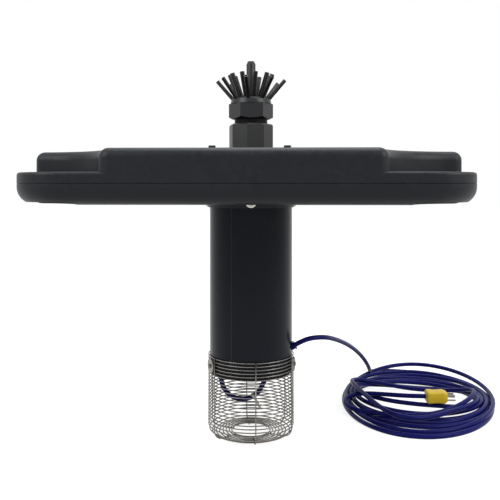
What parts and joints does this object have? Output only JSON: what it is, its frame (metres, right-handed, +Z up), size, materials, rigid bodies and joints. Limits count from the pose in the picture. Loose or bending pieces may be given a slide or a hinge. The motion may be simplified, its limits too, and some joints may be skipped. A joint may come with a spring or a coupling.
{
  "type": "floating pond fountain",
  "caption": "Square floating fountain: moulded foam-filled float, submersible pump in a sleeve with a wire intake cage, screw-on spray head and coiled power cord.",
  "frame": {"origin": "on the floor under the middle of the intake cage, on the axis of the pump sleeve", "axes": "+Z up along the pump sleeve, -Y the front side of the square float, +X to the right towards the cord"},
  "size_m": [0.9319, 0.8379, 0.7585],
  "materials": {
    "float_plastic": "satin, moulded",
    "black_plastic": "gloss",
    "foam": "matt",
    "stainless": "brushed",
    "galvanised": "dull zinc",
    "rubber": "matt",
    "cord_jacket": "semi-gloss",
    "plug_yellow": "semi-gloss",
    "nylon": "matt",
    "pump_plastic": "matt",
    "winding_copper": "varnished",
    "iron": "dull",
    "nickel": "plated",
    "ceramic": "polished"
  },
  "bodies": {
    "housing": {"cable_grommet": "rubber", "cage_screws": "stainless", "cage_washers": "galvanised", "collar_screws": "stainless", "cord_arch": "cord_jacket", "cord_coil": "cord_jacket", "diffuser_bowl_1": "pump_plastic", "diffuser_bowl_2": "pump_plastic", "discharge_head": "stainless", "float_collar": "black_plastic", "float_lower_shell": "float_plastic", "float_upper_shell": "float_plastic", "foam_core": "foam", "head_plate": "black_plastic", "intake_bracket": "stainless", "intake_cage": "stainless", "intake_screen": "stainless", "lead_tie": "nylon", "lower_bearing": "ceramic", "mooring_sleeves": "float_plastic", "motor_can": "stainless", "motor_centraliser": "rubber", "motor_diaphragm": "rubber", "motor_lead": "cord_jacket", "motor_lower_bell": "stainless", "motor_upper_bell": "stainless", "nozzle_coupling": "black_plastic", "nozzle_neck": "black_plastic", "plug_body": "plug_yellow", "plug_lead": "cord_jacket", "plug_pins": "nickel", "pump_shell": "stainless", "pump_sleeve": "black_plastic", "riser_pipe": "stainless", "shaft_seal": "ceramic", "stator_core": "iron", "stator_windings": "winding_copper", "tie_bolts": "stainless", "tie_nuts": "stainless", "tie_washers": "stainless", "upper_bearing": "ceramic"},
    "rotor": {"rotor_core": "iron", "motor_shaft": "stainless", "shaft_coupling": "stainless", "pump_shaft": "stainless", "impeller_1": "pump_plastic", "impeller_2": "pump_plastic"},
    "gasket": {"nozzle_gasket": "rubber"},
    "nozzle": {"spray_head": "black_plastic", "outer_jets": "black_plastic", "middle_jets": "black_plastic", "centre_jet": "black_plastic"}
  },
  "joints": [
    {"name": "rotor_spin", "type": "hinge", "parent": "housing", "child": "rotor", "pos_m": [0, 0, 0.25], "axis": [0, 0, 1], "continuous": true},
    {"name": "nozzle_lift", "type": "slide", "parent": "housing", "child": "gasket", "axis": [0, 0, 1], "range_m": [0, 0.0201]},
    {"name": "nozzle_turn", "type": "hinge", "parent": "gasket", "child": "nozzle", "pos_m": [0, 0, 0.66], "axis": [0, 0, 1], "range_deg": [0, 1800]}
  ],
  "couplings": [
    {"joint": "nozzle_lift", "follows": "nozzle_turn", "m_per_rad": 0.00063662}
  ]
}
